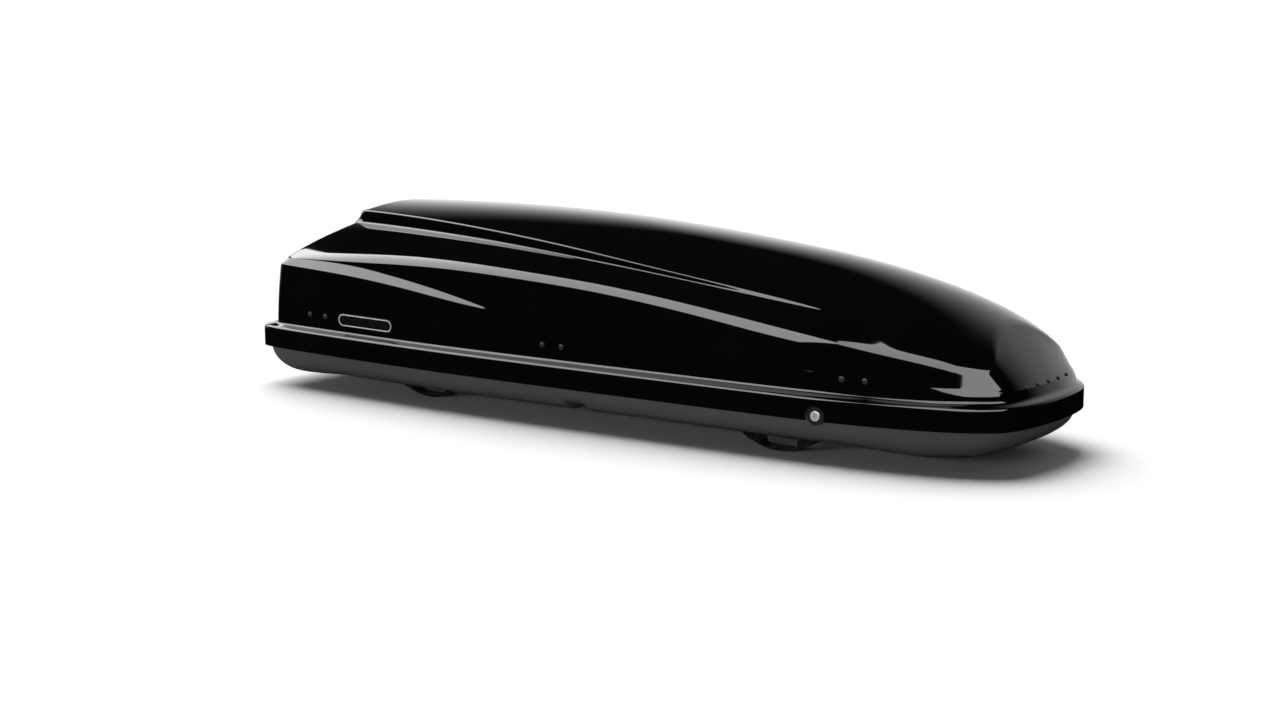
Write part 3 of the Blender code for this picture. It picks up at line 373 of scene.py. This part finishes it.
def fine_profile(at, normal):
    """The hood's outer profile with its rounded edges, from the rim's bottom to the roof edge."""
    x = at[:, 0]
    zero = np.zeros_like(x)
    rear = ease(np.clip(-normal[:, 0], 0, 1) ** 1.5)
    nose = np.clip(normal[:, 0], 0, 1) ** 2
    foot = 0.021 + 0.029 * rear - 0.006 * nose
    belt = belt_z(x)
    w1 = foot + 0.006 * (1 - nose) + 0.0255 * rear + 0.008 * nose
    w2 = w1 + belt_width(x) * (1 - 0.7 * rear) + 0.004 * nose
    z2 = belt + belt_height(x) * (1 - 0.5 * rear) + 0.003 * nose
    lean = 0.07 + 0.63 * rear + 0.75 * nose
    step = inward(at, normal)
    lo = w2.copy()
    hi = w2 + 0.16
    for _ in range(44):
        mid = (lo + hi) / 2
        p = at + step * mid[:, None]
        above = z2 + (mid - w2) / lean - roof_z(p[:, 0], p[:, 1]) > 0
        hi = np.where(above, mid, hi)
        lo = np.where(above, lo, mid)
    edge = (lo + hi) / 2
    p = at + step * edge[:, None]
    top = roof_z(p[:, 0], p[:, 1])
    reach = 0.012 + SHOULDER_SOFT * ease((0.9 - x) / 0.5) * (1 - rear)
    back = np.minimum(reach / np.sqrt(1 + lean**2), (top - z2) * 0.8)
    a = (edge - back * lean, top - back)
    b = edge + reach
    p = at + step * b[:, None]
    zb = roof_z(p[:, 0], p[:, 1])
    q = at + step * (b + 0.001)[:, None]
    slope = (roof_z(q[:, 0], q[:, 1]) - zb) / 0.001
    v1 = (zero, zero + 0.0490)
    v2 = (foot + 0.0002, zero + 0.0572)
    v3 = (w1, belt)
    v4 = (w2, z2)
    rows = [(zero + 0.0032, zero), (zero + 0.0012, zero)]
    rows += [(zero + 0.0003, zero + 0.0003), (zero, zero + 0.0012)]
    rows += between((zero, zero + 0.0012), v1, 3)[:2]
    rows += fillet((zero, zero + 0.010), v1, v2, 0.0060, 9)
    rows += fillet(v1, v2, v3, 0.0055, 9)
    low = rows[-1]
    for t in np.linspace(0, 1, 12)[1:-1]:
        bulge = 0.0016 * np.sin(math.pi * t) * (1 - nose)
        rows.append((low[0] + (v3[0] - low[0]) * t - bulge, low[1] + (v3[1] - low[1]) * t))
    rows += fillet(rows[-1], v3, v4, 0.0028, 6)
    rows += fillet(v3, v4, a, 0.0045, 7)
    rows += between(rows[-1], a, 8)
    for t in np.linspace(0, 1, 18):
        c1 = (a[0] + (edge - a[0]) * FULLNESS, a[1] + (top - a[1]) * FULLNESS)
        c2 = (b - reach * FULLNESS, zb - slope * reach * FULLNESS)
        k = ((1 - t) ** 3, 3 * t * (1 - t) ** 2, 3 * t * t * (1 - t), t**3)
        rows.append(
            (
                k[0] * a[0] + k[1] * c1[0] + k[2] * c2[0] + k[3] * b,
                k[0] * a[1] + k[1] * c1[1] + k[2] * c2[1] + k[3] * zb,
            )
        )
    return rows


def fine_roof(at, edge, drop):
    """Rows from the roof edge to the middle line, following the raised panel's edge."""
    end_x = spine_x(at)
    y = np.maximum(edge[:, 1], 1e-6)
    foot = np.full(len(y), 0.3)
    top = np.full(len(y), 0.34)
    for _ in range(10):
        x = edge[:, 0] + (end_x - edge[:, 0]) * foot
        foot = np.clip(1 - (panel_y(x) + panel_ramp(x) * 0.75) / y, 0.05, 0.9)
        x = edge[:, 0] + (end_x - edge[:, 0]) * top
        top = np.maximum(1 - (panel_y(x) - panel_ramp(x) * 0.75) / y, foot + 0.012)
    parts = [foot * t for t in np.linspace(0, 1, 13)[1:]]
    parts += [foot + (top - foot) * t for t in np.linspace(0, 1, 17)[1:]]
    parts += [top + (1 - top) * t for t in np.linspace(0, 1, 31)[1:]]
    rows = []
    for part in parts:
        px = edge[:, 0] + (end_x - edge[:, 0]) * part
        py = edge[:, 1] * (1 - part)
        rows.append(np.column_stack([px, py, roof_z(px, py) + RIM_Z - drop]))
    return rows


def plain_rows(at, normal, rows):
    step = inward(at, normal)
    made = []
    for inset, height in rows:
        p = at + step * inset[:, None]
        p[0, 1] = 0
        p[-1, 1] = 0
        made.append(np.column_stack([p, height + RIM_Z]))
    return made


def skin(name, halves, joined):
    """One mesh from half rows, mirrored about the middle line; the last row lies on it."""
    points = []
    faces = []
    starts = []
    for rows, turn in halves:
        half = len(rows[0])
        ring = 2 * half - 2
        offset = len(points)
        starts.append(offset)
        for row in rows[:-1]:
            points += list(row * (1, -1, 1)) + list(row[-2:0:-1])
        spine = len(points)
        points += list(rows[-1] * (1, 0, 1))
        count = len(rows) - 1
        for r in range(count):
            for k in range(ring):
                quad = []
                for rr, kk in ((r, k), (r, k + 1), (r + 1, k + 1), (r + 1, k)):
                    kk %= ring
                    if rr < count:
                        quad.append(offset + rr * ring + kk)
                    else:
                        quad.append(spine + (kk if kk < half else ring - kk))
                quad = list(dict.fromkeys(quad))
                if len(quad) > 2:
                    faces.append(tuple(reversed(quad)) if turn else tuple(quad))
    if joined:
        for k in range(ring):
            b = (k + 1) % ring
            faces.append((starts[0] + k, starts[1] + k, starts[1] + b, starts[0] + b))
    return make_mesh(name, points, faces, smooth=True)


def make_mesh(name, points, faces, smooth=False):
    mesh = bpy.data.meshes.new(name)
    mesh.from_pydata([tuple(map(float, p)) for p in points], [], [tuple(f) for f in faces])
    mesh.update()
    if smooth:
        mesh.polygons.foreach_set("use_smooth", [True] * len(mesh.polygons))
    made = bpy.data.objects.new(name, mesh)
    bpy.context.scene.collection.objects.link(made)
    return made


def cut(target, cutters):
    """Takes the cutters out of the target for good."""
    for other in cutters:
        step = target.modifiers.new("cut", "BOOLEAN")
        step.object = other
        step.operation = "DIFFERENCE"
        step.solver = "EXACT"
    bpy.context.view_layer.update()
    graph = bpy.context.evaluated_depsgraph_get()
    mesh = bpy.data.meshes.new_from_object(target.evaluated_get(graph))
    target.modifiers.clear()
    target.data = mesh
    for other in cutters:
        bpy.data.objects.remove(other, do_unlink=True)


def drum(p0, p1, radius, sides=40):
    """A plain closed cylinder."""
    w = (Vector(p1) - Vector(p0)).normalized()
    u = Vector((0, 0, 1)).cross(w)
    if u.length < 1e-4:
        u = Vector((1, 0, 0))
    u.normalize()
    v = w.cross(u)
    points = []
    for centre in (p0, p1):
        for k in range(sides):
            angle = 2 * math.pi * k / sides
            points.append(Vector(centre) + radius * (u * math.cos(angle) + v * math.sin(angle)))
    faces = [tuple(reversed(range(sides))), tuple(range(sides, 2 * sides))]
    for k in range(sides):
        faces.append((k, (k + 1) % sides, (k + 1) % sides + sides, k + sides))
    return make_mesh("drum", points, faces)


def wall_frame(x, inset, side):
    at, normal = plan_at(np.array([t_at_x(x)]))
    p = at[0] - normal[0] * inset
    return Vector((p[0], side * p[1], 0)), Vector((normal[0, 0], side * normal[0, 1], 0))


# ---------------------------------------------------------------- materials
def new_material(name, colour, metal, rough):
    """A Principled material, returned with its node tree and its shader node."""
    made = bpy.data.materials.new(name)
    made.use_nodes = True
    tree = made.node_tree
    shader = tree.nodes["Principled BSDF"]
    shader.inputs["Base Color"].default_value = (*colour, 1)
    shader.inputs["Metallic"].default_value = metal
    shader.inputs["Roughness"].default_value = rough
    return made, tree, shader


def noise(tree, scale, detail, rough=0.5, stretch=(1, 1, 1)):
    """A noise texture in metres of the object's own space."""
    place = tree.nodes.new("ShaderNodeTexCoord")
    moved = tree.nodes.new("ShaderNodeMapping")
    moved.inputs["Scale"].default_value = stretch
    made = tree.nodes.new("ShaderNodeTexNoise")
    made.inputs["Scale"].default_value = scale
    made.inputs["Detail"].default_value = detail
    made.inputs["Roughness"].default_value = rough
    tree.links.new(place.outputs["Object"], moved.inputs["Vector"])
    tree.links.new(moved.outputs["Vector"], made.inputs["Vector"])
    return made.outputs["Fac"]


def spread(tree, value, low, high, start=0.3, end=0.7):
    """Turns a 0 to 1 value into a range of another one."""
    made = tree.nodes.new("ShaderNodeMapRange")
    made.inputs["From Min"].default_value = start
    made.inputs["From Max"].default_value = end
    made.inputs["To Min"].default_value = low
    made.inputs["To Max"].default_value = high
    tree.links.new(value, made.inputs["Value"])
    return made.outputs["Result"]


def tint(tree, value, shader, dark, light):
    """Mixes two colours by a value into the shader's base colour."""
    made = tree.nodes.new("ShaderNodeMix")
    made.data_type = "RGBA"
    made.inputs["A"].default_value = (*dark, 1)
    made.inputs["B"].default_value = (*light, 1)
    tree.links.new(value, made.inputs["Factor"])
    tree.links.new(made.outputs["Result"], shader.inputs["Base Color"])


def bump(tree, shader, value, strength, distance):
    """Raises the surface by a value, over at most this distance in metres."""
    made = tree.nodes.new("ShaderNodeBump")
    made.inputs["Strength"].default_value = strength
    made.inputs["Distance"].default_value = distance
    tree.links.new(value, made.inputs["Height"])
    tree.links.new(made.outputs["Normal"], shader.inputs["Normal"])


def gloss_black():
    made, tree, shader = new_material("gloss_black", (0.002, 0.002, 0.0023), 0.0, 0.05)
    haze = noise(tree, 9.0, 4.0)
    tree.links.new(spread(tree, haze, 0.030, 0.060), shader.inputs["Roughness"])
    tint(tree, haze, shader, (0.0012, 0.0012, 0.0014), (0.0024, 0.0024, 0.0027))
    shader.inputs["IOR"].default_value = 1.5
    bump(tree, shader, noise(tree, 60.0, 2.0), 0.02, 0.0004)
    return made


def base_grey():
    made, tree, shader = new_material("base_grey", (0.07, 0.073, 0.074), 0.0, 0.4)
    grain = noise(tree, 1400.0, 3.0, 0.6)
    cloud = noise(tree, 4.0, 4.0)
    tree.links.new(spread(tree, grain, 0.34, 0.48), shader.inputs["Roughness"])
    tint(tree, cloud, shader, (0.060, 0.063, 0.065), (0.078, 0.080, 0.079))
    bump(tree, shader, grain, 0.3, 0.00015)
    return made


def grained(name, dark, light, rough, scale, depth):
    """Moulded plastic or rubber with a fine grain."""
    made, tree, shader = new_material(name, light, 0.0, rough)
    grain = noise(tree, scale, 4.0, 0.6)
    cloud = noise(tree, 14.0, 3.0)
    tree.links.new(spread(tree, grain, rough - 0.07, rough + 0.10), shader.inputs["Roughness"])
    tint(tree, cloud, shader, dark, light)
    bump(tree, shader, grain, 0.4, depth)
    return made


def metal(name, dark, light, rough, stretch, metallic=1.0):
    """Rolled or drawn metal, with marks along one direction."""
    made, tree, shader = new_material(name, light, metallic, rough)
    marks = noise(tree, 260.0, 4.0, 0.65, stretch)
    cloud = noise(tree, 30.0, 3.0)
    tree.links.new(spread(tree, marks, rough - 0.08, rough + 0.10), shader.inputs["Roughness"])
    tint(tree, cloud, shader, dark, light)
    bump(tree, shader, marks, 0.15, 0.0001)
    return made


def badge_face():
    """A plain black face with a thin silver line just inside its rounded edge."""
    made, tree, shader = new_material("badge_silver", (0.5, 0.5, 0.5), 0.0, 0.25)

    def step(kind, a, b=0.0):
        node = tree.nodes.new("ShaderNodeMath")
        node.operation = kind
        for socket, value in zip(node.inputs, (a, b)):
            if isinstance(value, float):
                socket.default_value = value
            else:
                tree.links.new(value, socket)
        return node.outputs[0]

    parts = tree.nodes.new("ShaderNodeSeparateXYZ")
    place = tree.nodes.new("ShaderNodeTexCoord")
    tree.links.new(place.outputs["Object"], parts.inputs[0])
    along = step("ABSOLUTE", step("SUBTRACT", parts.outputs["X"], BADGE_X))
    past_end = step("MAXIMUM", step("SUBTRACT", along, BADGE_HALF), 0.0)
    up = step("SUBTRACT", parts.outputs["Z"], BADGE_Z)
    far = step("SQRT", step("ADD", step("MULTIPLY", past_end, past_end), step("MULTIPLY", up, up)))
    line = step("COMPARE", far, BADGE_LINE)
    line.node.inputs[2].default_value = BADGE_LINE_HALF
    marks = noise(tree, 260.0, 4.0)
    tree.links.new(spread(tree, marks, 0.20, 0.40), shader.inputs["Roughness"])
    mix = tree.nodes.new("ShaderNodeMix")
    mix.data_type = "RGBA"
    tree.links.new(line, mix.inputs[0])
    mix.inputs[6].default_value = BADGE_BLACK
    mix.inputs[7].default_value = BADGE_BRIGHT
    tree.links.new(mix.outputs[2], shader.inputs["Base Color"])
    return made


BADGE_X = -0.640
BADGE_Z = RIM_Z + 0.088
BADGE_HALF = 0.072
BADGE_LINE = 0.0128
BADGE_LINE_HALF = 0.0012
BADGE_BLACK = (0.004, 0.004, 0.0045, 1)
BADGE_BRIGHT = (0.62, 0.63, 0.64, 1)
LOOKS = {
    "gloss_black": gloss_black(),
    "base_grey": base_grey(),
    "black_plastic": grained(
        "black_plastic", (0.009, 0.009, 0.0095), (0.016, 0.016, 0.017), 0.42, 1100.0, 0.0002
    ),
    "rubber": grained("rubber", (0.008, 0.008, 0.008), (0.014, 0.014, 0.014), 0.72, 700.0, 0.0002),
    "steel": metal("steel", (0.50, 0.51, 0.52), (0.66, 0.67, 0.68), 0.30, (1, 12, 12)),
    "black_steel": metal(
        "black_steel", (0.014, 0.014, 0.015), (0.024, 0.024, 0.026), 0.36, (6, 6, 6), 0.0
    ),
    "chrome": metal("chrome", (0.66, 0.66, 0.65), (0.80, 0.80, 0.79), 0.34, (4, 4, 4), 0.45),
    "badge_silver": badge_face(),
}


def dress(piece, slot):
    piece.data.materials.clear()
    piece.data.materials.append(LOOKS[slot])


slot_of = {entry["node"]: entry["material_slot"] for entry in frame["record"]["subparts"]}
for name, node in frame["nodes"].items():
    dress(node, slot_of[name])


# ---------------------------------------------------------------- lid
def merged(values):
    values = np.sort(np.array(values, float))
    keep = [values[0]]
    for v in values[1:]:
        if v - keep[-1] > 2e-4:
            keep.append(v)
    keep[-1] = values[-1]
    return np.array(keep)


lid_t = list(np.linspace(0, t_at_rear_y(0.29), 46))
lid_t += list(np.linspace(t_at_rear_y(0.29), t_at_x(-0.90), 70))
lid_t += list(t_at_x(np.linspace(-0.90, 0.80, 150)))
lid_t += list(np.linspace(t_at_x(0.80), 1.0, 90))
lid_t = merged(lid_t)
at, normal = plan_at(lid_t)
outer = plain_rows(at, normal, fine_profile(at, normal))
outer += fine_roof(at, outer[-1], 0.0)
inner = plain_rows(at, normal, hood_profile(at, normal, True))
inner += fine_roof(at, inner[-1], SKIN)
lid = skin("lid_fine", [(outer, False), (inner, True)], True)
LOCK_X = 0.599
LOCK_Z = RIM_Z + 0.0105
ARCH_R = 0.0235
ARCH_DEEP = 0.012
arch_at, arch_out = wall_frame(LOCK_X, 0.0, -1)
arch_centre = arch_at + Vector((0, 0, LOCK_Z))
round_cut = drum(arch_centre - arch_out * ARCH_DEEP, arch_centre + arch_out * ARCH_DEEP, ARCH_R, 64)
along = Vector((0, 0, 1)).cross(arch_out)
corners = []
for a in (-ARCH_R, ARCH_R):
    for b in (-ARCH_DEEP, ARCH_DEEP):
        for z in (RIM_Z - 0.01, LOCK_Z):
            corners.append(arch_at + along * a + arch_out * b + Vector((0, 0, z)))
square_cut = make_mesh(
    "square",
    corners,
    [(0, 1, 3, 2), (4, 6, 7, 5), (0, 4, 5, 1), (2, 3, 7, 6), (0, 2, 6, 4), (1, 5, 7, 3)],
)
dress(lid, "gloss_black")
cut(lid, [square_cut, round_cut])
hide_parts("lid_shell")
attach(lid, "lid")

# ---------------------------------------------------------------- base
base_t = list(np.linspace(0, t_at_rear_y(0.29), 30))
base_t += list(np.linspace(t_at_rear_y(0.29), t_at_x(-0.90), 40))
base_t += list(t_at_x(np.linspace(-0.90, 0.80, 110)))
base_t += list(t_at_x(np.linspace(GROOVE_X - 0.036, GROOVE_X - 0.018, 14)))
base_t += list(t_at_x(np.linspace(GROOVE_X + 0.018, GROOVE_X + 0.036, 14)))
base_t += list(np.linspace(t_at_x(0.80), 1.0, 50))
base_t = merged(base_t)


def fine_base(t_values, inner):
    at, normal = plan_at(t_values)
    x = at[:, 0]
    zero = np.zeros_like(x)
    rear = np.clip(-normal[:, 0], 0, 1) ** 2
    nose = np.clip(normal[:, 0], 0, 1) ** 2
    reach = 0.070 + 0.045 * rear + 0.075 * nose
    t = SKIN if inner else 0.0
    top = EDGE_Z - tail_dip(x)
    rows = [(BASE_INSET + zero + t, top * h) for h in (1.0, 0.6, 0.2, 0.0)]
    step = inward(at, normal)
    for angle in np.linspace(0, 90, 25)[1:]:
        turn = math.radians(angle)
        inset = BASE_INSET + t + (reach - 0.5 * t) * (1 - math.cos(turn))
        p = at + step * inset[:, None]
        depth = floor_z(p[:, 0]) * math.sin(turn)
        rise = groove(p[:, 0]) * ease((angle - 18) / 54)
        rows.append((inset, depth + rise + t * math.sin(turn)))
    made = plain_rows(at, normal, rows)
    edge = made[-1]
    end_x = spine_x(at)
    for part in np.linspace(0, 1, 14)[1:]:
        px = edge[:, 0] + (end_x - edge[:, 0]) * part
        py = edge[:, 1] * (1 - part)
        made.append(np.column_stack([px, py, floor_z(px) + groove(px) + t + RIM_Z]))
    return made


base = skin("base_fine", [(fine_base(base_t, False), False), (fine_base(base_t, True), True)], True)
dress(base, "base_grey")
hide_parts("base_shell")
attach(base, "base")


# ---------------------------------------------------------------- floor, light and camera
def plane(name, size, z):
    h = size / 2
    return make_mesh(name, [(-h, -h, z), (h, -h, z), (h, h, z), (-h, h, z)], [(0, 1, 2, 3)])


FLOOR_WHITE = 0.86
FLOOR_SIZE = 80.0
ground = plane("floor", FLOOR_SIZE, 0.0)
made, tree, shader = new_material("floor", (FLOOR_WHITE, FLOOR_WHITE, FLOOR_WHITE), 0.0, 0.9)
shader.inputs["Specular IOR Level"].default_value = 0.0
ground.data.materials.append(made)
ground.visible_glossy = False

AIM = Vector((-0.1116, 0.038, 0.096))
DISTANCE = 5.7
TURN = math.radians(36.5)
RAISE = math.radians(10.5)
LENS = 67.5
SENSOR = 36.0
CLIP_END = 200.0

# directions in the picture: away from the camera, to the right, and up
AWAY = Vector((-math.sin(TURN), math.cos(TURN), 0))
RIGHT = Vector((math.cos(TURN), math.sin(TURN), 0))
UP = Vector((0, 0, 1))

towards = UP * math.sin(RAISE) - AWAY * math.cos(RAISE)
camera = bpy.data.objects.new("camera", bpy.data.cameras.new("camera"))
bpy.context.scene.collection.objects.link(camera)
camera.location = AIM + towards * DISTANCE
camera.rotation_euler = towards.to_track_quat("Z", "Y").to_euler()
camera.data.lens = LENS
camera.data.sensor_width = SENSOR
camera.data.clip_end = CLIP_END
bpy.context.scene.camera = camera

SUN_ENERGY = 4.15
SUN_ANGLE = math.radians(58)
SUN_BEHIND = 0.50
SUN_LEFT = 0.35
sun = bpy.data.objects.new("sun", bpy.data.lights.new("sun", "SUN"))
sun.data.energy = SUN_ENERGY
sun.data.angle = SUN_ANGLE
sun_from = AWAY * SUN_BEHIND - RIGHT * SUN_LEFT + UP
sun.rotation_euler = sun_from.to_track_quat("Z", "Y").to_euler()
sun.visible_glossy = False
bpy.context.scene.collection.objects.link(sun)


def panel(name, corners, faces, strength):
    """A glowing panel that only mirror-like surfaces see."""
    made = make_mesh(name, corners, faces)
    glow = bpy.data.materials.new(name)
    glow.use_nodes = True
    nodes = glow.node_tree.nodes
    nodes.clear()
    shine = nodes.new("ShaderNodeEmission")
    shine.inputs["Strength"].default_value = strength
    end = nodes.new("ShaderNodeOutputMaterial")
    glow.node_tree.links.new(shine.outputs["Emission"], end.inputs["Surface"])
    made.data.materials.append(glow)
    made.visible_camera = False
    made.visible_diffuse = False
    made.visible_shadow = False
    made.visible_transmission = False
    return made


def spot(away, right, up):
    return AWAY * away + RIGHT * right + UP * up


def toward(turn, raised):
    """A point far out, turned to the right of straight away from the camera and raised, in degrees."""
    turn = math.radians(turn)
    raised = math.radians(raised)
    flat = AWAY * math.cos(turn) + RIGHT * math.sin(turn)
    return (flat * math.cos(raised) + UP * math.sin(raised)) * FAR


FAR = 14.0
PANEL_SIDE = -10.0
PANEL_NEAR = -7.2
PANEL_FAR = 18.5
PANEL_LOW = 5.3
PANEL_HIGH = 17.3
LEFT_GLOW = 6.0
FRONT_GLOW = 5.0
panel(
    "left_panel",
    [
        spot(PANEL_FAR, PANEL_SIDE, PANEL_LOW),
        spot(PANEL_NEAR, PANEL_SIDE, PANEL_LOW),
        spot(PANEL_NEAR, PANEL_SIDE, PANEL_HIGH),
        spot(PANEL_FAR, PANEL_SIDE, PANEL_HIGH),
    ],
    [(0, 1, 2, 3)],
    LEFT_GLOW,
)
panel(
    "front_panel",
    [
        toward(-128, 50),
        toward(-118, 64),
        toward(-148, 42),
        toward(-69, 83),
        toward(-174, 17),
        toward(167, 60),
        toward(138, 23),
        toward(114, 42),
    ],
    [(0, 1, 3, 2), (2, 3, 5, 4), (4, 5, 7, 6)],
    FRONT_GLOW,
)

FILL_SIZE = (5.0, 1.6)
FILL_POWER = 130.0
FILL_AWAY, FILL_RIGHT, FILL_UP = -5.5, -4.5, 1.3
fill = bpy.data.lights.new("fill", "AREA")
fill.shape = "RECTANGLE"
fill.size, fill.size_y = FILL_SIZE
fill.energy = FILL_POWER
fill_lamp = bpy.data.objects.new("fill", fill)
fill_lamp.location = spot(FILL_AWAY, FILL_RIGHT, FILL_UP)
fill_lamp.rotation_euler = (fill_lamp.location - AIM).to_track_quat("Z", "Y").to_euler()
fill_lamp.visible_glossy = False
bpy.context.scene.collection.objects.link(fill_lamp)

world = bpy.data.worlds.new("world")
bpy.context.scene.world = world
world.use_nodes = True
tree = world.node_tree
back = tree.nodes["Background"]
way = tree.nodes.new("ShaderNodeTexCoord")
parts = tree.nodes.new("ShaderNodeSeparateXYZ")
tree.links.new(way.outputs["Generated"], parts.inputs["Vector"])


def world_range(value, start, end, low, high):
    made = tree.nodes.new("ShaderNodeMapRange")
    made.interpolation_type = "SMOOTHSTEP"
    made.inputs["From Min"].default_value = start
    made.inputs["From Max"].default_value = end
    made.inputs["To Min"].default_value = low
    made.inputs["To Max"].default_value = high
    tree.links.new(value, made.inputs["Value"])
    return made.outputs["Result"]


def world_math(kind, a, b):
    made = tree.nodes.new("ShaderNodeMath")
    made.operation = kind
    for socket, value in ((made.inputs[0], a), (made.inputs[1], b)):
        if isinstance(value, float):
            socket.default_value = value
        else:
            tree.links.new(value, socket)
    return made.outputs["Value"]


# a nearly white band low behind the object, lower toward the right, and almost nothing elsewhere
BAND_NARROWING = 6.0
DARK_GLOW = 0.004
BAND_COLOUR = (1.0, 0.965, 0.99, 1)
facing = world_math(
    "ADD",
    world_math("MULTIPLY", parts.outputs["X"], -math.sin(TURN)),
    world_math("MULTIPLY", parts.outputs["Y"], math.cos(TURN)),
)
sideways = world_math(
    "ADD",
    world_math("MULTIPLY", parts.outputs["X"], math.cos(TURN)),
    world_math("MULTIPLY", parts.outputs["Y"], math.sin(TURN)),
)
raised = world_math("ADD", world_math("MULTIPLY", world_math("MAXIMUM", sideways, 0.0), BAND_NARROWING), 1.0)
height = world_math("DIVIDE", parts.outputs["Z"], raised)
low_edge = world_range(parts.outputs["Z"], -0.12, -0.04, 0.0, 1.0)
high_edge = world_range(height, 0.05, 0.45, 1.0, 0.0)
behind = world_range(facing, 0.15, 0.7, 0.0, 1.0)
band = world_math("MULTIPLY", world_math("MULTIPLY", low_edge, high_edge), behind)
tree.links.new(world_math("ADD", band, DARK_GLOW), back.inputs["Strength"])
back.inputs["Color"].default_value = BAND_COLOUR

bpy.context.scene.view_settings.view_transform = "Standard"
bpy.context.scene.view_settings.look = "None"
